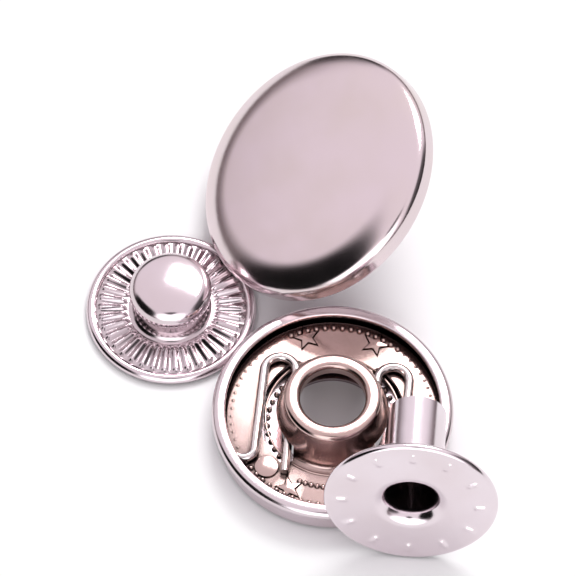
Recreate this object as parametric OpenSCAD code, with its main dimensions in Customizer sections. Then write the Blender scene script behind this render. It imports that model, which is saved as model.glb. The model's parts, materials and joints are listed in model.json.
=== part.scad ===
// Four-part spring snap fastener: cap, socket, stud and eyelet, loose as they come from the box.
// All four are pressed from thin plated sheet. The cap's post goes through the cloth and the
// socket's hub, the eyelet's stem through the cloth and the stud. Two S-shaped wires in the
// socket grip the ball of the stud below its widest point.
// Millimetres. Z is up, and the origin is the centre of the socket's mouth, on the ground.

/* [Cap] */
// Outside diameter of the cap
cap_d = 14.2; // [13:0.1:18]
// Height of the cap from its rolled rim to its crown
cap_h = 1.9; // [1.8:0.1:2.2]
// Radius of the shoulder between wall and face
cap_shoulder = 0.6; // [0.5:0.05:0.7]
// Radius of the soft knee between shoulder and crown
cap_knee = 4; // [3:0.5:5]
// Slope of the face in degrees where the knee meets the shoulder
cap_knee_slope = 24; // [18:1:28]
// Slope of the face in degrees where the knee meets the crown
cap_crown_slope = 2.5; // [2:0.5:4]
// Outside radius of the bend at the rolled rim
cap_bend = 0.35; // [0.32:0.01:0.4]
// Width of the rim that is folded in over the back plate
cap_fold_w = 0.7; // [0.6:0.05:0.9]
// Thickness of the cap's sheet
cap_sheet = 0.3; // [0.2:0.05:0.3]

/* [Back plate and post] */
// Thickness of the back plate's sheet, which is also the wall of the post
plate_sheet = 0.25; // [0.15:0.05:0.3]
// Depth of the back plate's dish below the fold of the rim
dish_depth = 0.45; // [0.3:0.05:0.5]
// Width of the slope between the rim and the dish
dish_slope_w = 0.4; // [0.3:0.05:0.6]
// Diameter of the flat boss round the post
boss_d = 6; // [5:0.25:6]
// Height of the boss above the dish
boss_h = 0.25; // [0.15:0.05:0.25]
// Outside diameter of the post at its tip
post_d = 3.2; // [2.8:0.1:3.3]
// Outside diameter of the post at its foot
post_foot_d = 3.9; // [3.6:0.1:4.2]
// How far the post reaches past the rim
post_reach = 4.1; // [3.5:0.1:5]
// Length of the post's narrow part
post_tip_l = 2.2; // [1.8:0.1:2.6]
// Distance of a slot's straight edge from the middle of the plate
slot_inner = 3.15; // [3.1:0.05:3.3]
// Radius of a slot's curved edge
slot_outer = 4.85; // [4.7:0.05:5.2]
// Radius of a slot's corners
slot_corner = 0.4; // [0.3:0.05:0.5]

/* [Socket case] */
// Outside diameter of the socket
socket_d = 13; // [12.5:0.25:15]
// Height of the socket's rolled rim
socket_h = 2; // [1.95:0.05:2.3]
// Thickness of the case's sheet
case_sheet = 0.25; // [0.2:0.01:0.28]
// Diameter of the mouth that takes the ball
mouth_d = 5.6; // [5.2:0.1:6]
// Outside radius of the rolled rim
case_bead = 0.35; // [0.3:0.01:0.4]
// How far the wall stands back below the rolled rim
case_waist = 0.2; // [0.1:0.05:0.25]
// Width of the rim that is folded in over the tray
case_fold_w = 0.72; // [0.65:0.01:0.8]
// Outside radius of the case's bottom edge
case_foot = 0.35; // [0.3:0.05:0.5]

/* [Socket hub] */
// Thickness of the hub plate's sheet
hub_sheet = 0.25; // [0.2:0.01:0.28]
// Height of the tray floor, on which the springs lie
tray_z = 1.15; // [1.1:0.05:1.2]
// Outside diameter of the hub at its top
hub_d = 5.3; // [5.2:0.1:5.8]
// Height of the hub's top
hub_z = 3.45; // [3.3:0.05:3.8]
// Draft of the hub's wall in degrees
hub_draft = 16; // [12:1:18]
// Radius of the hub's rounded top edge
hub_round = 0.35; // [0.3:0.01:0.4]
// Diameter of the hole that takes the cap's post
hub_hole_d = 3.5; // [3.4:0.05:3.7]
// Depth of the lip turned down inside the hole
hub_lip = 0.7; // [0.6:0.05:0.75]
// Radius of the fillets at the hub's foot and the tray's edge
tray_fillet = 0.28; // [0.28:0.01:0.35]
// Reach of the spring windows from the socket's axis
window_outer = 3.95; // [3.9:0.05:4.1]
// Radius of a window's corners
window_corner = 0.35; // [0.3:0.05:0.4]
// Diameter of the round button pressed up between each wire's hook and its gripping arm
button_d = 1.3; // [1.1:0.05:1.3]
// Height of the buttons above the tray
button_h = 0.15; // [0.1:0.01:0.2]

/* [Springs] */
// Diameter of the spring wire
wire_d = 0.5; // [0.4:0.02:0.5]
// Radius of the U-bend, on the wire's centre line
loop_r = 0.87; // [0.8:0.01:0.95]
// Distance of the U-bend's centre from the middle of the socket
loop_x = 2.3; // [2:0.1:2.5]
// Length of the gripping arm past the middle, at its free end
tail_l = 3.8; // [3.4:0.1:3.8]
// Radius of the hook under the rim, on the wire's centre line
hook_r = 0.6; // [0.5:0.01:0.6]
// Turn of the hook in degrees
hook_turn = 120; // [90:5:120]

/* [Stud] */
// Outside diameter of the stud
stud_d = 9.3; // [9:0.1:11]
// Diameter of the ball
ball_d = 4.5; // [4.4:0.02:4.56]
// Diameter of the neck below the ball
neck_d = 3.9; // [3.8:0.02:4]
// Height of the ball's top above the stud's rim
ball_top = 2.75; // [2.6:0.05:2.8]
// Height of the ball's widest point above the stud's rim
ball_mid = 1.75; // [1.7:0.01:1.77]
// Radius of the ball's shoulder, seen from the side
ball_shoulder = 0.8; // [0.7:0.02:0.84]
// Thickness of the stud's sheet
stud_sheet = 0.25; // [0.2:0.01:0.3]
// Radius of the stud's rolled rim
stud_bead = 0.3; // [0.25:0.01:0.35]
// Step from the rolled rim down to the ribbed web
web_step = 0.15; // [0.1:0.01:0.2]
// Radius of the fillet between web and neck
neck_fillet = 0.4; // [0.3:0.05:0.45]
// Number of ribs round the web
rib_count = 38; // [30:1:42]
// Width of a rib
rib_w = 0.32; // [0.24:0.01:0.32]

/* [Eyelet] */
// Outside diameter of the eyelet's flange
eyelet_d = 9.2; // [8.8:0.1:11]
// Length of the eyelet from the flange's face to the end of the stem
eyelet_l = 6.1; // [5:0.1:6.6]
// Outside diameter of the stem
stem_d = 3.2; // [3:0.05:3.25]
// Radius of the flared mouth
flare_r = 0.75; // [0.6:0.05:0.9]
// Thickness of the eyelet's sheet
eyelet_sheet = 0.3; // [0.2:0.02:0.34]
// Radius of the flange's rounded edge
eyelet_bead = 0.22; // [0.2:0.01:0.3]
// Number of embossed marks round the flange
mark_count = 12; // [8:1:16]
// Length of an embossed mark
mark_l = 0.75; // [0.5:0.05:1]

/* [Ornament] */
// Outer radius of a star on the tray
star_r = 0.7; // [0.6:0.02:0.74]
// Angle between a star and the line through the U-bends
star_angle = 22; // [20:1:23]
// Height of the stars above the tray
star_h = 0.1; // [0.05:0.01:0.12]

/* [Arrangement] */
// Gap between a piece that leans and what carries it
rest_gap = 0.06; // [0.05:0.01:0.15]
// Gap between pieces that lie side by side
side_gap = 0.15; // [0.1:0.05:0.3]
// Heading of the socket's U-bends
socket_turn = 84; // [78:1:90]
// Heading from the socket to the stud
stud_heading = 141; // [136:1:146]
// Heading from the stud to the cap
cap_heading = 34.6; // [33:0.1:38]
// How far the cap's edge reaches over the stud, measured level
cap_lap = 1.56; // [1.4:0.02:1.7]
// Heading of the cap's low side
cap_low_side = 189; // [184:1:194]
// Swing of the eyelet's stem away from straight back
eyelet_yaw = 4.3; // [2:0.1:6]

/* [Hidden] */

$fn = 72;
arc_steps = 8;
fit_gap = 0.02;
wire_gap = 0.05;
cut = 1;

nickel = [0.78, 0.74, 0.72];
nickel_dark = [0.66, 0.62, 0.60];
spring_steel = [0.84, 0.82, 0.80];

cap_r = cap_d / 2;
post_r = post_d / 2;
post_foot_r = post_foot_d / 2;
flange_z = cap_sheet + fit_gap;
dish_z = flange_z + dish_depth;
boss_z = dish_z - boss_h;
post_fillet = 0.25;

socket_r = socket_d / 2;
case_wall_r = socket_r - case_waist;
case_bead_at = [socket_r - case_bead, socket_h - case_bead];
waist_angle = acos(1 - case_waist / case_bead);
waist_z = case_bead_at[1] - case_bead * sin(waist_angle);
hub_floor_z = case_sheet + fit_gap;
skirt_r = case_wall_r - case_foot - fit_gap;
hub_lip_round = hub_sheet + 0.05;

wire_r = wire_d / 2;
wire_z = tray_z + wire_gap + wire_r;
wire_top = wire_z + wire_r;
grip_y = neck_d / 2 + wire_r;
arm_y = grip_y + 2 * loop_r;
window_inner = grip_y - wire_r - 2 * wire_gap;
window_top = wire_top + 2 * wire_gap;
// The hook's tip stays clear of the inside of the case's wall.
tip_reach = case_wall_r - case_sheet - wire_r - wire_gap;
tip_y = arm_y + hook_r - hook_r * cos(hook_turn);
hook_x = hook_r * sin(hook_turn) - sqrt(tip_reach * tip_reach - tip_y * tip_y);
button_r = button_d / 2;
button_y = grip_y + wire_r + 2 * wire_gap + button_r;
button_reach = hook_r + wire_r + 2 * wire_gap + button_r;
button_x = hook_x - sqrt(pow(button_reach, 2) - pow(arm_y + hook_r - button_y, 2));

stud_r = stud_d / 2;
neck_r = neck_d / 2;
stud_rim_z = 2 * stud_bead;
web_z = stud_rim_z - web_step;
web_sheet = stud_sheet;
rib_inner = neck_r + neck_fillet + stud_sheet;

eyelet_r = eyelet_d / 2;
stem_r = stem_d / 2;
bore_r = stem_r - eyelet_sheet;
mark_w = 0.3;
mark_h = 0.07;

star_at = (window_outer + case_bead_at[0]) / 2 - 0.05;

function heading(a) = [cos(a), sin(a)];

// Points of an arc about centre c, from angle a0 to a1.
function arc(c, r, a0, a1) = [for (i = [0:arc_steps]) c + r * heading(a0 + (a1 - a0) * i / arc_steps)];

// Points of a smooth slope from one level to another.
function slope(from, to) =
    [for (i = [0:arc_steps]) [
        from[0] + (to[0] - from[0]) * i / arc_steps,
        from[1] + (to[1] - from[1]) * (1 - cos(180 * i / arc_steps)) / 2]];

// A shoulder arc about [a, z] that runs on into a crown arc up to the axis, at a depth below the surface.
function dome(a, z, shoulder, top, start, depth) =
    let (rise = top - z,
        crown = (rise * rise + a * a - shoulder * shoulder) / (2 * (rise - shoulder)),
        join = atan2(crown - rise, a))
    concat(arc([a, z], shoulder - depth, start, join), arc([0, top - crown], crown - depth, join, 90));

function reversed(points) = [for (i = [len(points) - 1:-1:0]) points[i]];

// Sheet metal turned about the axis, from the paths of its two faces.
module spun(outside, inside) {
    rotate_extrude() polygon(concat(outside, reversed(inside)));
}

// A D-shaped opening with rounded corners, its straight edge at x = inner.
module d_window(inner, outer, corner) {
    half = sqrt(pow(outer - corner, 2) - pow(inner + corner, 2));
    turn = atan2(half, inner + corner);
    polygon(concat(
        arc([0, 0], outer, -turn, turn),
        arc([inner + corner, half], corner, turn, 180),
        arc([inner + corner, -half], corner, 180, 360 - turn)));
}

// Round bars laid like spokes on a face, from radius r0 to r1.
module spokes(count, r0, r1, width) {
    for (i = [0:count - 1])
        rotate(360 * i / count) translate([r0, 0, 0]) rotate([0, 90, 0])
            cylinder(d = width, h = r1 - r0, $fn = 16);
}

module star(r) {
    polygon([for (i = [0:9]) (i % 2 == 0 ? 1 : 0.42) * r * [cos(36 * i), sin(36 * i)]]);
}

// Cap, with its rim at z = 0 and its face up.

// Rolled rim, shoulder, knee and crown, each an arc that runs on into the next.
function cap_wall(depth) =
    let (knee_turn = 90 - cap_knee_slope,
        crown_turn = 90 - cap_crown_slope,
        to_shoulder = (cap_knee - cap_shoulder) * heading(knee_turn),
        knee_x = cap_r - cap_shoulder - to_shoulder[0],
        crown = cap_knee + knee_x / cos(crown_turn),
        knee_at = [knee_x, cap_h - crown + (crown - cap_knee) * sin(crown_turn)])
    concat(
        arc([cap_r - cap_bend, cap_bend], cap_bend - depth, 270, 360),
        arc(knee_at + to_shoulder, cap_shoulder - depth, 0, knee_turn),
        arc(knee_at, cap_knee - depth, knee_turn, crown_turn),
        arc([0, cap_h - crown], crown - depth, crown_turn, 90));

module cap_shell_shape() {
    fold_at = [cap_r - cap_fold_w + cap_sheet / 2, cap_sheet / 2];
    spun(concat(arc(fold_at, cap_sheet / 2, 90, 270), cap_wall(0)), cap_wall(cap_sheet));
}

function back_plate(depth) = let (slope_r = cap_r - cap_fold_w - cap_bend / 2) concat(
    [[cap_r - cap_bend, flange_z + depth]],
    slope([slope_r, flange_z + depth], [slope_r - dish_slope_w, dish_z + depth]),
    slope([boss_d / 2 + dish_slope_w, dish_z + depth], [boss_d / 2, boss_z + depth]),
    arc([post_foot_r + post_fillet, boss_z - post_fillet], post_fillet + depth, 90, 180),
    slope([post_foot_r - depth, post_tip_l + (post_foot_r - post_r) * 1.2 - post_reach],
        [post_r - depth, post_tip_l - post_reach]),
    [[post_r - depth, -post_reach]]);

module cap_post_plate_shape() {
    difference() {
        spun(back_plate(0), back_plate(plate_sheet));
        for (side = [0, 180])
            rotate(side) translate([0, 0, boss_z - cut]) linear_extrude(3 * cut)
                d_window(slot_inner, slot_outer, slot_corner);
    }
}

// Socket, with its mouth on the ground and its hub up. The U-bends point along x.

function case_wall(depth) = concat(
    [[mouth_d / 2, depth]],
    arc([case_wall_r - case_foot, case_foot], case_foot - depth, 270, 360),
    [[case_wall_r - depth, waist_z]],
    arc(case_bead_at, case_bead - depth, -waist_angle, 90));

module socket_case_shape() {
    fold_at = [socket_r - case_fold_w + case_sheet / 2, socket_h - case_sheet / 2];
    spun(concat(case_wall(0), arc(fold_at, case_sheet / 2, 90, 270)), case_wall(case_sheet));
}

function hub_wall(depth) =
    let (top_at = [hub_d / 2 - hub_round, hub_z - hub_round],
        fall = top_at[1] - tray_z - tray_fillet + (hub_round + tray_fillet) * sin(hub_draft),
        foot_x = top_at[0] + (hub_round + tray_fillet) * cos(hub_draft) + fall * tan(hub_draft))
    concat(
        [[skirt_r - depth, hub_floor_z]],
        arc([skirt_r - tray_fillet, tray_z - tray_fillet], tray_fillet - depth, 0, 90),
        arc([foot_x, tray_z + tray_fillet], tray_fillet + depth, 270, 180 + hub_draft),
        arc(top_at, hub_round - depth, hub_draft, 90),
        arc([hub_hole_d / 2 + hub_lip_round, hub_z - hub_lip_round], hub_lip_round - depth, 90, 180),
        [[hub_hole_d / 2 + depth, hub_z - hub_lip]]);

module socket_hub_plate_shape() {
    difference() {
        spun(hub_wall(0), hub_wall(hub_sheet));
        for (side = [90, -90])
            rotate(side) translate([0, 0, tray_z - cut]) linear_extrude(window_top - tray_z + cut)
                d_window(window_inner, window_outer, window_corner);
    }
    for (end = [0, 180], side = [-1, 1])
        rotate(end + side * star_angle) translate([star_at, 0, tray_z - hub_sheet / 2])
            linear_extrude(star_h + hub_sheet / 2) star(star_r);
    for (side = [-1, 1])
        translate([button_x, side * button_y, tray_z - hub_sheet / 2])
            cylinder(r = button_r, h = button_h + hub_sheet / 2);
}

// A bend of the wire about the origin, from angle a0 to a1.
module wire_bend(r, a0, a1) {
    rotate(a0) rotate_extrude(angle = a1 - a0) translate([r, 0]) circle(r = wire_r);
}

// A straight stretch of wire along x.
module wire_arm(x0, x1) {
    translate([x0, 0, 0]) rotate([0, 90, 0]) cylinder(r = wire_r, h = x1 - x0);
}

// One S-shaped wire: gripping arm, U-bend, outer arm and the hook that is held under the rim.
module spring_shape() {
    translate([0, 0, wire_z]) {
        translate([0, grip_y]) wire_arm(-tail_l, loop_x);
        translate([loop_x, grip_y + loop_r]) wire_bend(loop_r, -90, 90);
        translate([0, arm_y]) wire_arm(hook_x, loop_x);
        translate([hook_x, arm_y + hook_r]) wire_bend(hook_r, 270 - hook_turn, 270);
    }
}

// Stud, with its rim on the ground and its ball up.

function stud_face(depth) =
    let (under = 0.25,
        ball_x = ball_d / 2 - ball_shoulder,
        ball_z = stud_rim_z + ball_mid,
        dx = neck_r + under - ball_x,
        dz = sqrt(pow(ball_shoulder + under, 2) - dx * dx),
        turn = atan2(dz, dx))
    concat(
        [[stud_r - stud_bead, web_z - depth]],
        arc([neck_r + neck_fillet, web_z + neck_fillet], neck_fillet + depth, 270, 180),
        arc([neck_r + under, ball_z - dz], under + depth, 180, 180 - turn),
        dome(ball_x, ball_z, ball_shoulder, stud_rim_z + ball_top, -turn, depth));

module stud_shape() {
    spun(stud_face(0), stud_face(web_sheet));
    rotate_extrude() translate([stud_r - stud_bead, stud_bead]) circle(r = stud_bead);
    translate([0, 0, web_z]) spokes(rib_count, rib_inner, stud_r - stud_bead, rib_w);
}

// Eyelet, with the face of its flange at z = 0 and its stem up.

function eyelet_wall(depth) = concat(
    [[eyelet_r - eyelet_bead, depth]],
    arc([bore_r + flare_r, flare_r], flare_r - depth, 270, 180),
    [[bore_r + depth, eyelet_l]]);

module eyelet_shape() {
    mark_end = eyelet_r - 2 * eyelet_bead - 0.1;
    spun(eyelet_wall(0), eyelet_wall(eyelet_sheet));
    rotate_extrude() translate([eyelet_r - eyelet_bead, eyelet_bead]) circle(r = eyelet_bead);
    translate([0, 0, mark_w / 2 - mark_h]) spokes(mark_count, mark_end - mark_l, mark_end, mark_w);
}

// Where the pieces lie.

stud_at = (socket_r + stud_r + side_gap) * heading(stud_heading);
cap_at = stud_at + (stud_r + cap_r - cap_lap) * heading(cap_heading);

// A level ring is [centre, radius, height, thickness of its round section].
stud_ring = [stud_at, stud_r - stud_bead, stud_bead, stud_bead];
socket_ring = [[0, 0], case_bead_at[0], case_bead_at[1], case_bead];

// Gap between a ball of radius r about point p and a level ring.
function ring_gap(p, r, ring) =
    norm([norm([p[0], p[1]] - ring[0]) - ring[1], p[2] - ring[2]]) - ring[3] - r;

// The cap stands on the tip of its post and leans until its rim meets the ground, the stud or the socket.
function cap_height(lean) = post_reach * cos(lean) + post_r * sin(lean);

function cap_rim_point(lean, a) =
    let (r = cap_r - cap_bend,
        out = r * cos(a) * cos(lean) + cap_bend * sin(lean),
        flat = cap_at + out * heading(cap_low_side) + r * sin(a) * heading(cap_low_side + 90))
    [flat[0], flat[1], cap_height(lean) + cap_bend * cos(lean) - r * cos(a) * sin(lean)];

function cap_gap(lean) = min([for (a = [-90:3:90]) let (p = cap_rim_point(lean, a))
    min(p[2] - cap_bend, ring_gap(p, cap_bend, stud_ring), ring_gap(p, cap_bend, socket_ring))]);

function leaning(low, high, steps) = let (mid = (low + high) / 2)
    steps == 0 ? low : cap_gap(mid) > rest_gap ? leaning(mid, high, steps - 1) : leaning(low, mid, steps - 1);

cap_lean = leaning(0, 60, 16);

// The eyelet stands on the edge of its flange, with the tip of its stem on the spring beside the hub.
// Its lean solves reach * cos(lean) - drop * sin(lean) = rest.
eyelet_reach = eyelet_r - eyelet_bead - stem_r;
eyelet_drop = eyelet_l - eyelet_bead;
eyelet_rest = wire_top + rest_gap - eyelet_bead;
eyelet_lean = acos(eyelet_rest / norm([eyelet_reach, eyelet_drop])) - atan2(eyelet_drop, eyelet_reach);
eyelet_x = hub_d / 2 + stem_r + side_gap + 0.1 - eyelet_l * sin(eyelet_yaw);
eyelet_y = -(socket_r + 2 * eyelet_bead + side_gap);
eyelet_z = eyelet_bead * (1 + sin(eyelet_lean)) + (eyelet_r - eyelet_bead) * cos(eyelet_lean);

module place_cap() {
    translate([cap_at[0], cap_at[1], cap_height(cap_lean)])
        rotate([0, cap_lean, cap_low_side]) children();
}

module place_socket() {
    rotate(socket_turn) children();
}

module place_stud() {
    translate([stud_at[0], stud_at[1], 0]) children();
}

module place_eyelet() {
    translate([eyelet_x, eyelet_y, eyelet_z])
        rotate([-90 - eyelet_lean, 0, -eyelet_yaw]) children();
}

module cap_shell() {
    color(nickel) place_cap() cap_shell_shape();
}

module cap_post_plate() {
    color(nickel_dark) place_cap() cap_post_plate_shape();
}

module socket_case() {
    color(nickel) place_socket() socket_case_shape();
}

module socket_hub_plate() {
    color(nickel_dark) place_socket() socket_hub_plate_shape();
}

module spring_left() {
    color(spring_steel) place_socket() spring_shape();
}

module spring_right() {
    color(spring_steel) place_socket() mirror([0, 1, 0]) spring_shape();
}

module stud() {
    color(nickel) place_stud() stud_shape();
}

module eyelet() {
    color(nickel) place_eyelet() eyelet_shape();
}

cap_shell();
cap_post_plate();
socket_case();
socket_hub_plate();
spring_left();
spring_right();
stud();
eyelet();
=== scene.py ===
import json
import math

import bpy
from mathutils import Matrix, Vector


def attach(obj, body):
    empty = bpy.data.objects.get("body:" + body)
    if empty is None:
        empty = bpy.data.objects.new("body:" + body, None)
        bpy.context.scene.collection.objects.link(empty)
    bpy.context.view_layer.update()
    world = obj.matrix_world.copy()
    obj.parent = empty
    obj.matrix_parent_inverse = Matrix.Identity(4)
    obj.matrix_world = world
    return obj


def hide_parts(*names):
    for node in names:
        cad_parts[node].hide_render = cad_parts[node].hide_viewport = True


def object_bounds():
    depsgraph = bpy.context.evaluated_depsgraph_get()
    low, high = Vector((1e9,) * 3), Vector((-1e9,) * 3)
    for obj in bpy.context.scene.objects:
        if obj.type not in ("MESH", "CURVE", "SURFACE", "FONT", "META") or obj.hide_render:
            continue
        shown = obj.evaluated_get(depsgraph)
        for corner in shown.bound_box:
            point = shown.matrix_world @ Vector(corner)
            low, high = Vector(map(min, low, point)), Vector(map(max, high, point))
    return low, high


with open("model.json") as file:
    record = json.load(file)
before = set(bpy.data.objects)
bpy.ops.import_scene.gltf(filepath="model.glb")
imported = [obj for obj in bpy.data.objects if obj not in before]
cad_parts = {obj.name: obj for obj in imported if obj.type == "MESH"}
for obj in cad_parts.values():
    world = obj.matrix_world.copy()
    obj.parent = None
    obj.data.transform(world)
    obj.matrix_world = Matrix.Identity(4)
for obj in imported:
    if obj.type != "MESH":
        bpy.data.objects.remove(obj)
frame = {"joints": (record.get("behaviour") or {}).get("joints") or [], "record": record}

# Looks of a four-part spring snap: cap, socket, stud and eyelet, lying loose on a pale table.
# Pieces are modelled in millimetres about their own axis, then set in place and turned to metres.

MM = 0.001
BODY = "fastener"
cad_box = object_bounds()
UP = Vector((0, 0, 1))

# Sizes in millimetres and angles in degrees, as in the part's source. The grooves, the rows of beads,
# the line at the hub's foot, and the soft edges and ramps of what is pressed are in this script only.

CAP_R = 7.1
CAP_H = 1.9
CAP_SHOULDER = 0.6
CAP_KNEE = 4.0
CAP_KNEE_SLOPE = 24
CAP_CROWN_SLOPE = 2.5
CAP_BEND = 0.35
CAP_FOLD_W = 0.7
CAP_SHEET = 0.3

PLATE_SHEET = 0.25
DISH_DEPTH = 0.45
DISH_SLOPE_W = 0.4
BOSS_R = 3.0
BOSS_H = 0.25
POST_R = 1.6
POST_FOOT_R = 1.95
POST_REACH = 4.1
POST_TIP_L = 2.2
POST_STEP_RUN = 1.2
POST_FILLET = 0.25
SLOT_INNER = 3.15
SLOT_OUTER = 4.85
SLOT_CORNER = 0.4

SOCKET_R = 6.5
SOCKET_H = 2.0
CASE_SHEET = 0.25
MOUTH_R = 2.8
CASE_BEAD = 0.35
CASE_WAIST = 0.2
CASE_FOLD_W = 0.72
CASE_FOOT = 0.35

HUB_SHEET = 0.25
TRAY_Z = 1.15
HUB_R = 2.65
HUB_Z = 3.45
HUB_DRAFT = 16
HUB_ROUND = 0.35
HUB_HOLE_R = 1.75
HUB_LIP = 0.7
HUB_LIP_ROUND = HUB_SHEET + 0.05
TRAY_FILLET = 0.28
WINDOW_OUTER = 3.95
WINDOW_CORNER = 0.35
BUTTON_R = 0.65
BUTTON_H = 0.15

WIRE_R = 0.25
LOOP_R = 0.87
LOOP_X = 2.3
TAIL_L = 3.8
HOOK_R = 0.6
HOOK_TURN = 120

STUD_R = 4.65
BALL_R = 2.25
NECK_R = 1.95
BALL_TOP = 2.75
BALL_MID = 1.75
BALL_SHOULDER = 0.8
STUD_SHEET = 0.25
STUD_BEAD = 0.3
WEB_STEP = 0.15
NECK_FILLET = 0.4
NECK_UNDERCUT = 0.25
RIB_COUNT = 38
RIB_H = 0.16
RIB_MARGIN = 0.1
RIB_IN = NECK_R + NECK_FILLET + RIB_MARGIN
RIB_OUT = STUD_R - 2 * STUD_BEAD
RIB_RAMP_IN = 0.2
RIB_RAMP_OUT = 0.15

EYELET_R = 4.6
EYELET_L = 6.1
STEM_R = 1.6
FLARE_R = 0.75
EYELET_SHEET = 0.3
EYELET_BEAD = 0.22
MARK_COUNT = 12
MARK_L = 0.75
MARK_W = 0.3
MARK_H = 0.1
MARK_MARGIN = 0.1
MARK_RAMP = 0.15
MARK_STEEPNESS = 2.4

FIT_GAP = 0.02
WIRE_GAP = 0.05
WIRE_CLEARANCE = 2 * WIRE_GAP

GRIP_Y = NECK_R + WIRE_R
ARM_Y = GRIP_Y + 2 * LOOP_R
WIRE_Z = TRAY_Z + WIRE_GAP + WIRE_R

STAR_R = 0.7
STAR_NOTCH = 0.42
STAR_H = 0.1
STAR_EDGE = 0.03
STAR_ANGLE = 22
STAR_ANGLES = [STAR_ANGLE, -STAR_ANGLE, 180 + STAR_ANGLE, 180 - STAR_ANGLE]
STAR_INWARD = 0.05
STAR_AT = (WINDOW_OUTER + SOCKET_R - CASE_BEAD) / 2 - STAR_INWARD
GROOVE_W = 0.16
GROOVE_DEPTH = 0.1
BUTTON_EDGE = 0.06
FOOT_LINE_R = 3.62
FOOT_LINE_W = 0.07

# Rows of beads in the tray and on the case's floor: name, count, radius of the row, height, first
# angle and span. The rows along the tray's edge sink where a wire swings over them.
BEAD_R = 0.16
BEAD_LIFT = 0.02
BEAD_SINK = 0.115
EDGE_ROW_R = 5.42
FLOOR_ROW_R = 3.5
SHORT_ROW_R = 4.35
BEAD_ROWS = (
    ("tray_edge_beads_top", 14, EDGE_ROW_R, TRAY_Z + BEAD_LIFT, -35, 70),
    ("tray_edge_beads_low", 19, EDGE_ROW_R, TRAY_Z + BEAD_LIFT, 132, 96),
    ("tray_edge_beads_under_left_wire", 19, EDGE_ROW_R, TRAY_Z - BEAD_SINK, 35, 97),
    ("tray_edge_beads_under_right_wire", 19, EDGE_ROW_R, TRAY_Z - BEAD_SINK, -132, 97),
    ("case_floor_beads", 44, FLOOR_ROW_R, CASE_SHEET + BEAD_LIFT, 0, 360),
    ("tray_short_bead_row", 7, SHORT_ROW_R, TRAY_Z, 162, 30),
)

# How finely round shapes are divided, how close vertices are merged, and how close to a face they
# have to be to be pressed with it.

RIM_STEPS = 256
PLATE_STEPS = 192
FOOT_LINE_STEPS = 160
STUD_STEPS = RIB_COUNT * 8
EYELET_STEPS = MARK_COUNT * 24
WIRE_SIDES = 28
ARM_STEPS = 8
U_BEND_STEPS = 30
HOOK_STEPS = 20
WELD = 1e-5
FACE_DEPTH = 0.01

# Camera, at the angle from which the photograph looks down on the pieces. Its distance and the width
# that it sees are in metres, its sensor in millimetres.

CAMERA_ELEVATION = 60
CAMERA_DISTANCE = 0.26
FRAME_WIDTH = 0.031
SENSOR_WIDTH = 36.0

# Studio, in metres and watts.

TABLE_W = 1.6
CONTACT_SHADE_REACH = 0.012
KEY_PLACE = (0.06, 0.16, 0.22)
KEY_AIM = (0, 0.004, 0)
KEY_SIZE = (0.16, 0.1)
KEY_POWER = 0.5


def linear(hex_colour):
    """A colour written as an sRGB hex value, in the linear light that the shaders use."""
    channels = [int(hex_colour[i:i + 2], 16) / 255 for i in (1, 3, 5)]
    return [c / 12.92 if c <= 0.04045 else ((c + 0.055) / 1.055) ** 2.4 for c in channels] + [1.0]


# Points of profiles, as pairs of distance from the axis and height.

def arc(centre, radius, start, end, step=5):
    """Points of an arc, its angles in degrees."""
    count = max(2, math.ceil(abs(end - start) / step))
    angles = [math.radians(start + (end - start) * i / count) for i in range(count + 1)]
    return [(centre[0] + radius * math.cos(a), centre[1] + radius * math.sin(a)) for a in angles]


def slope(first, last, count=14):
    """Points of a smooth S-shaped step between two levels."""
    points = []
    for i in range(count + 1):
        share = i / count
        rise = (1 - math.cos(math.pi * share)) / 2
        points.append((first[0] + (last[0] - first[0]) * share, first[1] + (last[1] - first[1]) * rise))
    return points


def dome(shoulder_at, shoulder, top, start, depth):
    """A shoulder arc that runs on into a crown arc up to the axis, at a depth below the surface."""
    reach, height = shoulder_at
    rise = top - height
    crown = (rise * rise + reach * reach - shoulder * shoulder) / (2 * (rise - shoulder))
    join = math.degrees(math.atan2(crown - rise, reach))
    return (arc(shoulder_at, shoulder - depth, start, join)
            + arc((0, top - crown), crown - depth, join, 90, step=0.35)[1:])


# Modelling by hand: a vertex drawn out into a line, and the line turned or filled.

def deselect():
    bpy.ops.object.select_all(action="DESELECT")


def draw_line(name, points, closed):
    """Draws out a line of edges from its first point, and leaves it selected in edit mode."""
    deselect()
    bpy.ops.mesh.primitive_plane_add(size=1)
    piece = bpy.context.object
    piece.name = name
    bpy.ops.object.mode_set(mode="EDIT")
    bpy.ops.mesh.select_all(action="SELECT")
    bpy.ops.mesh.merge(type="CENTER")
    bpy.ops.transform.translate(value=points[0])
    for here, there in zip(points, points[1:]):
        step = Vector(there) - Vector(here)
        bpy.ops.mesh.extrude_vertices_move(TRANSFORM_OT_translate={"value": step})
    bpy.ops.mesh.select_all(action="SELECT")
    if closed:
        join_ends(piece, len(points))
    return piece


def join_ends(piece, count):
    """Closes a drawn line with an edge between its first and last vertex."""
    bpy.ops.mesh.select_all(action="DESELECT")
    bpy.ops.object.mode_set(mode="OBJECT")
    for index in (0, count - 1):
        piece.data.vertices[index].select = True
    bpy.ops.object.mode_set(mode="EDIT")
    bpy.ops.mesh.edge_face_add()
    bpy.ops.mesh.select_all(action="SELECT")


def turned(name, profile, steps, closed=True):
    """Sheet metal turned about the z axis from the outline of its section."""
    piece = draw_line(name, [(r, 0, z) for r, z in profile], closed)
    bpy.ops.mesh.spin(steps=steps, angle=2 * math.pi, center=(0, 0, 0), axis=(0, 0, 1))
    bpy.ops.mesh.select_all(action="SELECT")
    bpy.ops.mesh.remove_doubles(threshold=WELD)
    bpy.ops.mesh.normals_make_consistent(inside=False)
    bpy.ops.object.mode_set(mode="OBJECT")
    return piece


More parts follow.
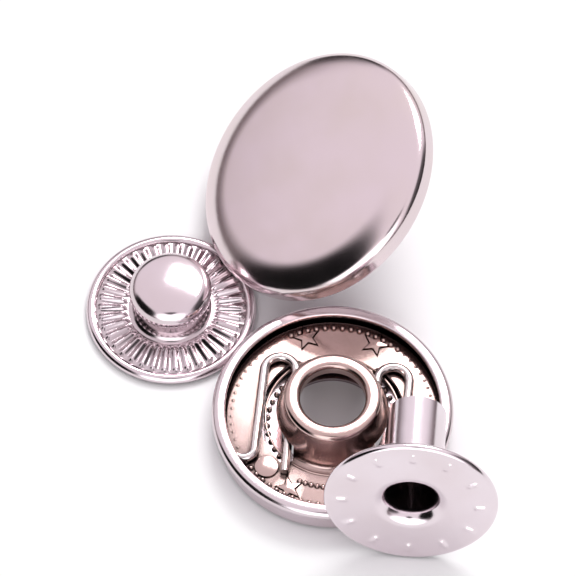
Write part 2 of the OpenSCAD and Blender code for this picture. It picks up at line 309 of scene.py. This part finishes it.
def prism(name, outline, bottom, height):
    """A flat outline raised into a prism."""
    piece = draw_line(name, [(x, y, bottom) for x, y in outline], closed=True)
    bpy.ops.mesh.edge_face_add()
    bpy.ops.mesh.extrude_region_move(TRANSFORM_OT_translate={"value": (0, 0, height)})
    bpy.ops.mesh.select_all(action="SELECT")
    bpy.ops.mesh.normals_make_consistent(inside=False)
    bpy.ops.object.mode_set(mode="OBJECT")
    return piece


def d_window(name, inner, outer, corner, bottom, height):
    """A D-shaped prism with rounded corners, its straight side at x = inner."""
    half = math.sqrt((outer - corner) ** 2 - (inner + corner) ** 2)
    turn = math.degrees(math.atan2(half, inner + corner))
    outline = (arc((0, 0), outer, -turn, turn)
               + arc((inner + corner, half), corner, turn, 180, 9)[1:]
               + arc((inner + corner, -half), corner, 180, 360 - turn, 9)[:-1])
    return prism(name, outline, bottom, height)


def cut(piece, tool):
    """Cuts one piece with another, which is used up."""
    deselect()
    bpy.context.view_layer.objects.active = piece
    piece.select_set(True)
    knife = piece.modifiers.new("cut", "BOOLEAN")
    knife.operation = "DIFFERENCE"
    knife.solver = "EXACT"
    knife.object = tool
    bpy.ops.object.modifier_apply(modifier=knife.name)
    bpy.data.objects.remove(tool)


def round_copies(piece, angles):
    """Copies of a piece turned about the z axis to each angle, joined into the first."""
    deselect()
    for degrees in angles[1:]:
        copy = piece.copy()
        copy.data = piece.data.copy()
        bpy.context.scene.collection.objects.link(copy)
        copy.matrix_world = Matrix.Rotation(math.radians(degrees), 4, "Z") @ piece.matrix_world
        copy.select_set(True)
    piece.matrix_world = Matrix.Rotation(math.radians(angles[0]), 4, "Z") @ piece.matrix_world
    piece.select_set(True)
    bpy.context.view_layer.objects.active = piece
    bpy.ops.object.join()
    bpy.ops.object.transform_apply()
    return piece


def settle(piece, place, body=BODY, smooth=38):
    """Sets a piece modelled in millimetres in its place in the frame, with its object at the origin."""
    deselect()
    bpy.context.view_layer.objects.active = piece
    piece.select_set(True)
    bpy.ops.object.shade_smooth_by_angle(angle=math.radians(smooth))
    piece.matrix_world = place @ Matrix.Scale(MM, 4)
    bpy.ops.object.transform_apply()
    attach(piece, body)
    return piece


# Places, from the frame's mounts and joints.

def axes(origin, x, z):
    """A placing matrix from an origin and the directions of x and z."""
    y = z.cross(x)
    turn = Matrix((x, y, z)).transposed().to_4x4()
    return Matrix.Translation(origin) @ turn


mounts = {m["name"]: m for m in frame["record"]["mounts"]}
joints = {j["name"]: j for j in frame["joints"]}


def along(mount, millimetres):
    """The point of a mount's axis that lies some way out from its middle, and the axis."""
    axis = Vector(mounts[mount]["axis"]).normalized()
    return Vector(mounts[mount]["pos_m"]) + axis * millimetres * MM, axis


post_middle = POST_REACH - POST_TIP_L / 2
cap_origin, post_axis = along("cap_post", -post_middle)
downhill = (post_axis * post_axis.dot(UP) - UP).normalized()
CAP_PLACE = axes(cap_origin, downhill, -post_axis)

eyelet_origin, eyelet_axis = along("eyelet_bore", (FLARE_R + EYELET_L) / 2)
EYELET_PLACE = axes(eyelet_origin, (-eyelet_axis).cross(UP).normalized(), -eyelet_axis)

stud_at = Vector(mounts["stud_bore"]["pos_m"])
STUD_PLACE = Matrix.Translation((stud_at.x, stud_at.y, 0))

pivot_left = Vector(joints["spring_left_swing"]["pos_m"])
pivot_right = Vector(joints["spring_right_swing"]["pos_m"])
socket_y = (pivot_left - pivot_right).normalized()
SOCKET_PLACE = axes(Vector((0, 0, 0)), socket_y.cross(UP), UP)


# Cap: a pressed shell rolled in over the edge of the back plate, which is drawn out into the post.

def cap_wall(depth):
    """Rolled rim, shoulder, knee and crown, each an arc that runs on into the next."""
    knee_turn, crown_turn = 90 - CAP_KNEE_SLOPE, 90 - CAP_CROWN_SLOPE
    out = (CAP_KNEE - CAP_SHOULDER) * math.cos(math.radians(knee_turn))
    up = (CAP_KNEE - CAP_SHOULDER) * math.sin(math.radians(knee_turn))
    knee_x = CAP_R - CAP_SHOULDER - out
    crown = CAP_KNEE + knee_x / math.cos(math.radians(crown_turn))
    knee_z = CAP_H - crown + (crown - CAP_KNEE) * math.sin(math.radians(crown_turn))
    return (arc((CAP_R - CAP_BEND, CAP_BEND), CAP_BEND - depth, 270, 360, 9)
            + arc((knee_x + out, knee_z + up), CAP_SHOULDER - depth, 0, knee_turn)
            + arc((knee_x, knee_z), CAP_KNEE - depth, knee_turn, crown_turn, 1.5)[1:]
            + arc((0, CAP_H - crown), crown - depth, crown_turn, 90, 0.1)[1:])


def make_cap_shell():
    """The face of the cap, its edge folded flat over the back plate."""
    fold_at = (CAP_R - CAP_FOLD_W + CAP_SHEET / 2, CAP_SHEET / 2)
    fold = arc(fold_at, CAP_SHEET / 2, 90, 270, 12)
    profile = cap_wall(CAP_SHEET)[::-1] + fold + cap_wall(0)
    return turned("cap_pressed_shell", profile, RIM_STEPS, closed=False)


def back_plate(depth):
    """Flange under the fold, dish, boss, and the post with its stepped tip."""
    flange_z = CAP_SHEET + FIT_GAP
    dish_z = flange_z + DISH_DEPTH
    boss_z = dish_z - BOSS_H
    slope_r = CAP_R - CAP_FOLD_W - CAP_BEND / 2
    shoulder_z = POST_TIP_L + (POST_FOOT_R - POST_R) * POST_STEP_RUN - POST_REACH
    return ([(CAP_R - CAP_BEND, flange_z + depth)]
            + slope((slope_r, flange_z + depth), (slope_r - DISH_SLOPE_W, dish_z + depth))
            + slope((BOSS_R + DISH_SLOPE_W, dish_z + depth), (BOSS_R, boss_z + depth))
            + arc((POST_FOOT_R + POST_FILLET, boss_z - POST_FILLET), POST_FILLET + depth, 90, 180, 9)
            + slope((POST_FOOT_R - depth, shoulder_z), (POST_R - depth, POST_TIP_L - POST_REACH))
            + [(POST_R - depth, -POST_REACH)])


def make_back_plate():
    """The back plate and post, with two D-shaped slots cut right through the sheet."""
    profile = back_plate(0) + back_plate(PLATE_SHEET)[::-1]
    plate = turned("cap_back_plate_with_post", profile, PLATE_STEPS)
    bottom, height = -0.5, 3
    for side in (0, 180):
        slot = d_window("slot", SLOT_INNER, SLOT_OUTER, SLOT_CORNER, bottom, height)
        cut(plate, round_copies(slot, [side]))
    return plate


# Socket: a pressed case rolled in over a hub plate, with two S-shaped wires in the tray.

def case_wall(depth):
    """Floor round the mouth, foot, wall with its waist, and the rolled bead."""
    wall_r = SOCKET_R - CASE_WAIST
    bead_at = (SOCKET_R - CASE_BEAD, SOCKET_H - CASE_BEAD)
    waist = math.degrees(math.acos(1 - CASE_WAIST / CASE_BEAD))
    waist_z = bead_at[1] - CASE_BEAD * math.sin(math.radians(waist))
    return ([(MOUTH_R, depth)]
            + arc((wall_r - CASE_FOOT, CASE_FOOT), CASE_FOOT - depth, 270, 360, 9)
            + [(wall_r - depth, waist_z)]
            + arc(bead_at, CASE_BEAD - depth, -waist, 90, 8))


def make_socket_case():
    """The case, its bead folded back in over the hub plate."""
    fold_at = (SOCKET_R - CASE_FOLD_W + CASE_SHEET / 2, SOCKET_H - CASE_SHEET / 2)
    profile = case_wall(0) + arc(fold_at, CASE_SHEET / 2, 90, 270, 15) + case_wall(CASE_SHEET)[::-1]
    return turned("socket_rolled_case", profile, RIM_STEPS)


def hub_wall(depth):
    """Skirt, tray, tapered hub and the lip that turns down into its hole."""
    skirt_r = SOCKET_R - CASE_WAIST - CASE_FOOT - FIT_GAP
    top_at = (HUB_R - HUB_ROUND, HUB_Z - HUB_ROUND)
    rounds = HUB_ROUND + TRAY_FILLET
    draft = math.radians(HUB_DRAFT)
    fall = top_at[1] - TRAY_Z - TRAY_FILLET + rounds * math.sin(draft)
    foot_x = top_at[0] + rounds * math.cos(draft) + fall * math.tan(draft)
    return ([(skirt_r - depth, CASE_SHEET + FIT_GAP)]
            + arc((skirt_r - TRAY_FILLET, TRAY_Z - TRAY_FILLET), TRAY_FILLET - depth, 0, 90, 10)
            + arc((foot_x, TRAY_Z + TRAY_FILLET), TRAY_FILLET + depth, 270, 180 + HUB_DRAFT, 8)
            + arc(top_at, HUB_ROUND - depth, HUB_DRAFT, 90, 8)
            + arc((HUB_HOLE_R + HUB_LIP_ROUND, HUB_Z - HUB_LIP_ROUND), HUB_LIP_ROUND - depth, 90, 180, 8)
            + [(HUB_HOLE_R + depth, HUB_Z - HUB_LIP)])


def star_outline(radius):
    """A five-pointed star, by its tips and the notches between them."""
    tips = [(radius if i % 2 == 0 else STAR_NOTCH * radius, math.radians(36 * i)) for i in range(10)]
    return [(r * math.cos(a), r * math.sin(a)) for r, a in tips]


def make_hub_plate():
    """The hub and tray, with a window for each wire and a groove for each star."""
    plate = turned("socket_hub_and_tray", hub_wall(0) + hub_wall(HUB_SHEET)[::-1], PLATE_STEPS)
    inner = GRIP_Y - WIRE_R - WIRE_CLEARANCE
    bottom = TRAY_Z - 1
    height = WIRE_Z + WIRE_R + WIRE_CLEARANCE - bottom
    for side in (90, -90):
        window = d_window("window", inner, WINDOW_OUTER, WINDOW_CORNER, bottom, height)
        cut(plate, round_copies(window, [side]))
    tool_height = 0.5
    for angle in STAR_ANGLES:
        groove = prism("groove", star_outline(STAR_R + GROOVE_W), TRAY_Z - GROOVE_DEPTH, tool_height)
        groove.matrix_world = Matrix.Translation((STAR_AT, 0, 0))
        cut(plate, round_copies(groove, [angle]))
    return plate


def soften(piece, width):
    """Rounds the edges of a piece."""
    bevel = piece.modifiers.new("soft_edge", "BEVEL")
    bevel.width = width
    bevel.segments = 2
    deselect()
    bpy.context.view_layer.objects.active = piece
    bpy.ops.object.modifier_apply(modifier=bevel.name)
    return piece


def make_stars():
    """Four stars pressed up from the tray, two beside each U-bend, each in a narrow groove."""
    blank = prism("tray_stars", star_outline(STAR_R), TRAY_Z - HUB_SHEET / 2, STAR_H + HUB_SHEET / 2)
    star = soften(blank, STAR_EDGE)
    star.matrix_world = Matrix.Translation((STAR_AT, 0, 0))
    return round_copies(star, STAR_ANGLES)


def hook_middle():
    """Where the hook's bend has its centre, along the outer arm, so that its tip is under the rim."""
    turn = math.radians(HOOK_TURN)
    tip_reach = SOCKET_R - CASE_WAIST - CASE_SHEET - WIRE_R - WIRE_GAP
    tip_y = ARM_Y + HOOK_R - HOOK_R * math.cos(turn)
    return HOOK_R * math.sin(turn) - math.sqrt(tip_reach ** 2 - tip_y ** 2)


def make_buttons():
    """Round buttons pressed up between each wire's hook and its gripping arm."""
    y = GRIP_Y + WIRE_R + WIRE_CLEARANCE + BUTTON_R
    reach = HOOK_R + WIRE_R + WIRE_CLEARANCE + BUTTON_R
    x = hook_middle() - math.sqrt(reach ** 2 - (ARM_Y + HOOK_R - y) ** 2)
    blank = prism("tray_buttons", arc((0, 0), BUTTON_R, 0, 350, 10),
                  TRAY_Z - HUB_SHEET / 2, BUTTON_H + HUB_SHEET / 2)
    button = soften(blank, BUTTON_EDGE)
    button.matrix_world = Matrix.Translation((math.hypot(x, y), 0, 0))
    turn = math.degrees(math.atan2(y, x))
    return round_copies(button, [turn, -turn])


def make_beads(name, count, row_r, z, first, span):
    """A row of small round beads along an arc about the axis."""
    deselect()
    bpy.ops.mesh.primitive_uv_sphere_add(segments=10, ring_count=6, radius=BEAD_R, location=(row_r, 0, z))
    bead = bpy.context.object
    bead.name = name
    return round_copies(bead, [first + span * i / count for i in range(count)])


def make_foot_ring():
    """The fine raised line round the hub's foot."""
    section = arc((FOOT_LINE_R, TRAY_Z), FOOT_LINE_W, 0, 330, 30)
    return turned("hub_foot_line", section, FOOT_LINE_STEPS)


def draw_straight(length):
    """Draws the wire's end straight on along x."""
    for _ in range(ARM_STEPS):
        bpy.ops.mesh.extrude_region_move(TRANSFORM_OT_translate={"value": (length / ARM_STEPS, 0, 0)})


def make_spring(name, side):
    """One wire: gripping arm, U-bend, outer arm and the hook that the rolled rim holds."""
    hook_x = hook_middle()
    u_bend_at = (LOOP_X, side * (GRIP_Y + LOOP_R), WIRE_Z)
    hook_at = (hook_x, side * (ARM_Y + HOOK_R), WIRE_Z)
    deselect()
    bpy.ops.mesh.primitive_circle_add(vertices=WIRE_SIDES, radius=WIRE_R, fill_type="NGON",
                                      location=(-TAIL_L, side * GRIP_Y, WIRE_Z),
                                      rotation=(0, math.pi / 2, 0))
    wire = bpy.context.object
    wire.name = name
    bpy.ops.object.transform_apply()
    bpy.ops.object.mode_set(mode="EDIT")
    bpy.ops.mesh.select_all(action="SELECT")
    draw_straight(TAIL_L + LOOP_X)
    bpy.ops.mesh.spin(steps=U_BEND_STEPS, angle=math.pi, center=u_bend_at, axis=(0, 0, -side))
    draw_straight(hook_x - LOOP_X)
    bpy.ops.mesh.spin(steps=HOOK_STEPS, angle=math.radians(HOOK_TURN), center=hook_at, axis=(0, 0, side))
    bpy.ops.mesh.select_all(action="SELECT")
    bpy.ops.mesh.remove_doubles(threshold=WELD)
    bpy.ops.mesh.normals_make_consistent(inside=False)
    bpy.ops.object.mode_set(mode="OBJECT")
    return wire


# Stud: a ball on a neck over a ribbed web, with a rolled rim.

def stud_face(depth):
    """Web, fillet, undercut neck and ball, up to the axis."""
    web_z = 2 * STUD_BEAD - WEB_STEP
    ball_x = BALL_R - BALL_SHOULDER
    ball_z = 2 * STUD_BEAD + BALL_MID
    reach = NECK_R + NECK_UNDERCUT - ball_x
    drop = math.sqrt((BALL_SHOULDER + NECK_UNDERCUT) ** 2 - reach ** 2)
    turn = math.degrees(math.atan2(drop, reach))
    web_start, web_end = STUD_R - STUD_BEAD, NECK_R + NECK_FILLET
    rings = 18
    web = [(web_start + (web_end - web_start) * i / rings, web_z - depth) for i in range(rings)]
    return (web
            + arc((web_end, web_z + NECK_FILLET), NECK_FILLET + depth, 270, 180, 6)
            + arc((NECK_R + NECK_UNDERCUT, ball_z - drop), NECK_UNDERCUT + depth, 180, 180 - turn, 8)
            + dome((ball_x, ball_z), BALL_SHOULDER, 2 * STUD_BEAD + BALL_TOP, -turn, depth))


def press_ribs(piece):
    """Presses the ribs of the web up through both its faces."""
    web_top = 2 * STUD_BEAD - WEB_STEP + FACE_DEPTH
    for vertex in piece.data.vertices:
        x, y, z = vertex.co
        r = math.hypot(x, y)
        if RIB_IN < r < RIB_OUT and z < web_top:
            phase = math.atan2(y, x) * RIB_COUNT
            ends = min(1, (r - RIB_IN) / RIB_RAMP_IN) * min(1, (RIB_OUT - r) / RIB_RAMP_OUT)
            vertex.co.z += RIB_H * ends * (0.5 + 0.5 * math.cos(phase))


def make_stud():
    """The stud, one pressing from its rolled rim to the crown of its ball."""
    bead_at = (STUD_R - STUD_BEAD, STUD_BEAD)
    bead = arc(bead_at, STUD_BEAD, 150, -170, 9)
    profile = stud_face(STUD_SHEET)[::-1] + bead[::-1] + stud_face(0)
    stud = turned("stud_ball_and_ribbed_web", profile, STUD_STEPS, closed=False)
    press_ribs(stud)
    return stud


# Eyelet: a tube with a flared mouth and a flange with embossed marks.

def eyelet_wall(depth):
    """Flange, flared mouth and stem."""
    bore_r = STEM_R - EYELET_SHEET
    flat_end = bore_r + FLARE_R
    rings = 24
    start = EYELET_R - EYELET_BEAD
    face = [(start + (flat_end - start) * i / rings, depth) for i in range(rings)]
    flare = arc((flat_end, FLARE_R), FLARE_R - depth, 270, 180, 6)
    return face + flare + [(bore_r + depth, EYELET_L)]


def press_marks(piece):
    """Presses short radial marks out of the flange's face."""
    outer = EYELET_R - 2 * EYELET_BEAD - MARK_MARGIN
    middle = outer - MARK_L / 2
    for vertex in piece.data.vertices:
        x, y, z = vertex.co
        r = math.hypot(x, y)
        if z < FACE_DEPTH and abs(r - middle) < MARK_L / 2:
            turn = math.atan2(y, x) * MARK_COUNT / (2 * math.pi)
            beside = abs(turn - round(turn)) * 2 * math.pi * r / MARK_COUNT
            ends = min(1, (MARK_L / 2 - abs(r - middle)) / MARK_RAMP)
            side = min(math.pi / 2, MARK_STEEPNESS * beside / MARK_W)
            vertex.co.z -= MARK_H * ends * max(0, math.cos(side))


def make_eyelet():
    """The eyelet, one pressing from the edge of its flange to the end of its stem."""
    bead_at = (EYELET_R - EYELET_BEAD, EYELET_BEAD)
    edge = arc(bead_at, EYELET_BEAD, 90, -90, 9)
    profile = eyelet_wall(0) + eyelet_wall(EYELET_SHEET)[::-1] + edge[1:-1]
    eyelet = turned("eyelet_flange_and_stem", profile, EYELET_STEPS)
    press_marks(eyelet)
    return eyelet


# Finishes.

def add(tree, kind, inputs=None, **settings):
    """Adds a node with its settings. An input is a value, or the socket that it is linked from."""
    made = tree.nodes.new(kind)
    for name, value in settings.items():
        setattr(made, name, value)
    for name, value in (inputs or {}).items():
        if isinstance(value, bpy.types.NodeSocket):
            tree.links.new(value, made.inputs[name])
        else:
            made.inputs[name].default_value = value
    return made


# Patterns of the metal, in millimetres. The real grain from tumbling is some hundredths of a millimetre
# wide, too fine to show in the render, so it is drawn coarser. The last three are shares: how much less
# open than its edge a hollow has to be to show all its painted shade, and how far roughness varies.
PATCH_W = 3.5
WAVE_W = 1.8
WAVE_DEPTH = 0.02
GRAIN_W = 0.07
GRAIN_DEPTH = 0.005
FULL_PAINTED_SHADE_SHARE = 0.4
SMOOTHEST = 0.85
ROUGHEST = 1.25


def plated_metal(name, clean, film, painted_hollow_shade, roughness, painted_shade_reach_mm, painted_shade_from=0.75, film_share=0.3):
    """Metal with a bright skin, the fine grain of tumbling, faint waves from the press tool, a warm
    film in patches, and painted shade that deepens where hollows of the given width close it in."""
    material = bpy.data.materials.new(name)
    material.use_nodes = True
    tree = material.node_tree
    tree.nodes.clear()
    where = add(tree, "ShaderNodeTexCoord").outputs["Object"]
    patches = add(tree, "ShaderNodeTexNoise", {"Vector": where, "Scale": 1 / (PATCH_W * MM), "Detail": 4.0})
    filmed = add(tree, "ShaderNodeMapRange", {"Value": patches.outputs["Fac"],
                                              "From Min": 0.35, "From Max": 0.75,
                                              "To Min": 0.0, "To Max": film_share})
    skin = add(tree, "ShaderNodeMix", {"Factor": filmed.outputs["Result"], "A": linear(clean),
                                       "B": linear(film)}, data_type="RGBA")
    # Painted shade: where ambient occlusion finds the metal closed in, its colour is mixed towards the
    # hollow colour.
    open_share = add(tree, "ShaderNodeAmbientOcclusion", {"Distance": painted_shade_reach_mm * MM}, samples=8)
    depth = add(tree, "ShaderNodeMapRange", {"Value": open_share.outputs["AO"],
                                             "From Min": painted_shade_from, "From Max": FULL_PAINTED_SHADE_SHARE * painted_shade_from,
                                             "To Min": 0.0, "To Max": 1.0})
    colour = add(tree, "ShaderNodeMix", {"Factor": depth.outputs["Result"], "A": skin.outputs["Result"],
                                         "B": linear(painted_hollow_shade)}, data_type="RGBA")
    grain = add(tree, "ShaderNodeTexNoise", {"Vector": where, "Scale": 1 / (GRAIN_W * MM), "Detail": 2.0})
    waves = add(tree, "ShaderNodeTexNoise", {"Vector": where, "Scale": 1 / (WAVE_W * MM), "Detail": 1.0})
    rough = add(tree, "ShaderNodeMapRange", {"Value": patches.outputs["Fac"],
                                             "From Min": 0.3, "From Max": 0.7,
                                             "To Min": roughness * SMOOTHEST,
                                             "To Max": roughness * ROUGHEST})
    wave_bump = add(tree, "ShaderNodeBump", {"Height": waves.outputs["Fac"], "Strength": 0.3,
                                             "Distance": WAVE_DEPTH * MM})
    grain_bump = add(tree, "ShaderNodeBump", {"Height": grain.outputs["Fac"], "Strength": 0.25,
                                              "Distance": GRAIN_DEPTH * MM,
                                              "Normal": wave_bump.outputs["Normal"]})
    shader = add(tree, "ShaderNodeBsdfPrincipled", {"Base Color": colour.outputs["Result"],
                                                    "Metallic": 1.0,
                                                    "Roughness": rough.outputs["Result"],
                                                    "Normal": grain_bump.outputs["Normal"]})
    add(tree, "ShaderNodeOutputMaterial", {"Surface": shader.outputs["BSDF"]})
    return material


def finish_with(piece, material):
    """Gives a piece its one material."""
    piece.data.materials.clear()
    piece.data.materials.append(material)


# Studio: a white table, one broad soft light from behind, and a pale tent with dark places and a window.

def white_paper():
    """Uncoated paper: flat white to the camera and in reflections, greyer where the pieces shade it."""
    material = bpy.data.materials.new("white_paper")
    material.use_nodes = True
    tree = material.node_tree
    tree.nodes.clear()
    paper = add(tree, "ShaderNodeBsdfDiffuse", {"Color": linear("#F2F1F2")})
    glow = add(tree, "ShaderNodeEmission", {"Color": (1, 1, 1, 1), "Strength": 1.0})
    rays = add(tree, "ShaderNodeLightPath")
    seen = add(tree, "ShaderNodeMath", {0: rays.outputs["Is Camera Ray"],
                                        1: rays.outputs["Is Glossy Ray"]}, operation="MAXIMUM")
    openness = add(tree, "ShaderNodeAmbientOcclusion", {"Distance": CONTACT_SHADE_REACH}, samples=8)
    lifted = add(tree, "ShaderNodeMapRange", {"Value": openness.outputs["AO"],
                                              "From Min": 0.6, "From Max": 1.0,
                                              "To Min": 0.0, "To Max": 0.8})
    share = add(tree, "ShaderNodeMath", {0: seen.outputs[0], 1: lifted.outputs["Result"]},
                operation="MULTIPLY")
    mix = add(tree, "ShaderNodeMixShader", {0: share.outputs[0], 1: paper.outputs[0], 2: glow.outputs[0]})
    add(tree, "ShaderNodeOutputMaterial", {"Surface": mix.outputs[0]})
    return material


def make_table():
    deselect()
    bpy.ops.mesh.primitive_plane_add(size=TABLE_W)
    table = bpy.context.object
    table.name = "table_top"
    bpy.ops.object.mode_set(mode="EDIT")
    bpy.ops.mesh.subdivide(number_cuts=3)
    bpy.ops.object.mode_set(mode="OBJECT")
    table.data.materials.append(white_paper())


# The window in front and the dark places of the room: the direction of each, the angles from there at
# which it starts and is full, its share and its light.
TENT_LOW = linear("#75686A")
TENT_HIGH = linear("#FCF4F9")
WINDOW_LIGHT = (2.1, 2.1, 2.15, 1.0)
DARKNESS = linear("#080909")
PLACES_IN_THE_TENT = [
    ((0.0, -0.92, 0.38), 40, 24, 1.0, WINDOW_LIGHT),
    ((-0.86, -0.32, 0.36), 36, 25, 1.0, DARKNESS),
    ((0.0, -0.5, 0.866), 12, 6, 0.9, DARKNESS),
    ((0.93, -0.10, 0.30), 36, 18, 0.9, DARKNESS),
    ((-0.30, 0.92, 0.10), 22, 10, 0.85, DARKNESS),
]


def make_world():
    """The tent, grey near the table and pale above, then each of its places laid over it."""
    world = bpy.data.worlds.new("light_tent")
    bpy.context.scene.world = world
    world.use_nodes = True
    tree = world.node_tree
    tree.nodes.clear()
    towards = add(tree, "ShaderNodeTexCoord").outputs["Generated"]
    height = add(tree, "ShaderNodeSeparateXYZ", {"Vector": towards}).outputs["Z"]
    rise = add(tree, "ShaderNodeMapRange", {"Value": height, "From Min": 0.05, "From Max": 0.45},
               interpolation_type="SMOOTHSTEP")
    tent = add(tree, "ShaderNodeMix", {"Factor": rise.outputs["Result"], "A": TENT_LOW, "B": TENT_HIGH},
               data_type="RGBA")
    seen = tent.outputs["Result"]
    for heading, edge, core, strength, colour in PLACES_IN_THE_TENT:
        aim = add(tree, "ShaderNodeVectorMath", {0: towards, 1: Vector(heading).normalized()},
                  operation="DOT_PRODUCT")
        inside = add(tree, "ShaderNodeMapRange", {"Value": aim.outputs["Value"],
                                                  "From Min": math.cos(math.radians(edge)),
                                                  "From Max": math.cos(math.radians(core)),
                                                  "To Max": strength}, interpolation_type="SMOOTHSTEP")
        seen = add(tree, "ShaderNodeMix", {"Factor": inside.outputs["Result"], "A": seen, "B": colour},
                   data_type="RGBA").outputs["Result"]
    background = add(tree, "ShaderNodeBackground", {"Color": seen, "Strength": 1.0})
    add(tree, "ShaderNodeOutputWorld", {"Surface": background.outputs[0]})


def make_lamp(name, place, aim, size, power):
    """A soft box at a place, pointed at the pieces."""
    data = bpy.data.lights.new(name, "AREA")
    data.shape = "RECTANGLE"
    data.size, data.size_y = size
    data.energy = power
    lamp = bpy.data.objects.new(name, data)
    bpy.context.scene.collection.objects.link(lamp)
    lamp.location = place
    lamp.rotation_euler = (Vector(aim) - Vector(place)).to_track_quat("-Z", "Y").to_euler()


def make_camera():
    low, high = cad_box
    middle = (low + high) / 2
    data = bpy.data.cameras.new("camera")
    data.sensor_width = SENSOR_WIDTH
    data.lens = SENSOR_WIDTH * CAMERA_DISTANCE / FRAME_WIDTH
    data.clip_start = 0.01
    camera = bpy.data.objects.new("camera", data)
    bpy.context.scene.collection.objects.link(camera)
    tilt = math.radians(CAMERA_ELEVATION)
    back = Vector((0, -math.cos(tilt), math.sin(tilt)))
    camera.location = middle + back * CAMERA_DISTANCE
    camera.rotation_euler = (-back).to_track_quat("-Z", "Y").to_euler()
    bpy.context.scene.camera = camera


# The metals, each named for what it is and how its surface was made.

# Tumbled after pressing: bright, with soft reflections, and dark brown painted shade in its folds.
tumbled = plated_metal("nickel_plated_brass_tumbled", clean="#DCD0D5", film="#BDA9A4", painted_hollow_shade="#2A1C17",
                       roughness=0.15, painted_shade_reach_mm=0.6, painted_shade_from=0.8)

# Buffed to a satin: the evenest and palest of them, with broad calm reflections and faint painted shade in
# hollows.
buffed = plated_metal("nickel_plated_brass_buffed_satin", clean="#E2D3D8", film="#DCCFC2",
                      painted_hollow_shade="#6E5D58", roughness=0.15, painted_shade_reach_mm=0.3)

# A browner nickel with a warm film in patches: pinkish grey, near black with painted shade in corners.
tray_metal = plated_metal("nickel_plated_brass_with_warm_film", clean="#CBB2AD", film="#A0857B",
                          painted_hollow_shade="#1C100B", roughness=0.17, painted_shade_reach_mm=0.9, painted_shade_from=0.85,
                          film_share=0.5)

# Coined into ribs: a bright crest beside each valley, which painted shade makes dark.
ribbed_metal = plated_metal("nickel_plated_brass_coined", clean="#E0D3D9", film="#C4B1AC",
                            painted_hollow_shade="#33231D", roughness=0.14, painted_shade_reach_mm=0.5, painted_shade_from=0.97)

# Deep drawn into a tube: bright outside, and painted black with shade down its bore, where little light
# reaches.
tube_metal = plated_metal("nickel_plated_brass_deep_drawn", clean="#E9DEE4", film="#D3C2C2",
                          painted_hollow_shade="#0E0705", roughness=0.16, painted_shade_reach_mm=3.4, painted_shade_from=0.5)

# Drawn through a die: smooth, with sharp highlights along its length, and painted shade where closed in.
wire_steel = plated_metal("drawn_spring_steel_wire", clean="#E4DCDB", film="#B7A29A", painted_hollow_shade="#40302A",
                          roughness=0.14, painted_shade_reach_mm=0.5)

for maker, place, material, slot, node in (
        (make_cap_shell, CAP_PLACE, buffed, "nickel", "cap_shell"),
        (make_back_plate, CAP_PLACE, tumbled, "dark_nickel", "cap_post_plate"),
        (make_socket_case, SOCKET_PLACE, tumbled, "nickel", "socket_case"),
        (make_hub_plate, SOCKET_PLACE, tray_metal, "dark_nickel", "socket_hub_plate"),
        (make_stud, STUD_PLACE, ribbed_metal, "nickel", "stud"),
        (make_eyelet, EYELET_PLACE, tube_metal, "nickel", "eyelet")):
    piece = settle(maker(), place)
    finish_with(piece, material)
    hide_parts(node)

trims = [make_stars(), make_buttons(), make_foot_ring()] + [make_beads(*row) for row in BEAD_ROWS]
for trim in trims:
    finish_with(settle(trim, SOCKET_PLACE), tray_metal)

for node, side in (("spring_left", 1), ("spring_right", -1)):
    spring = settle(make_spring("wire_" + node, side), SOCKET_PLACE, body=node)
    finish_with(spring, wire_steel)
    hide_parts(node)

make_table()
make_world()
make_lamp("key_behind", KEY_PLACE, KEY_AIM, KEY_SIZE, KEY_POWER)
make_camera()
bpy.context.scene.view_settings.view_transform = "Standard"
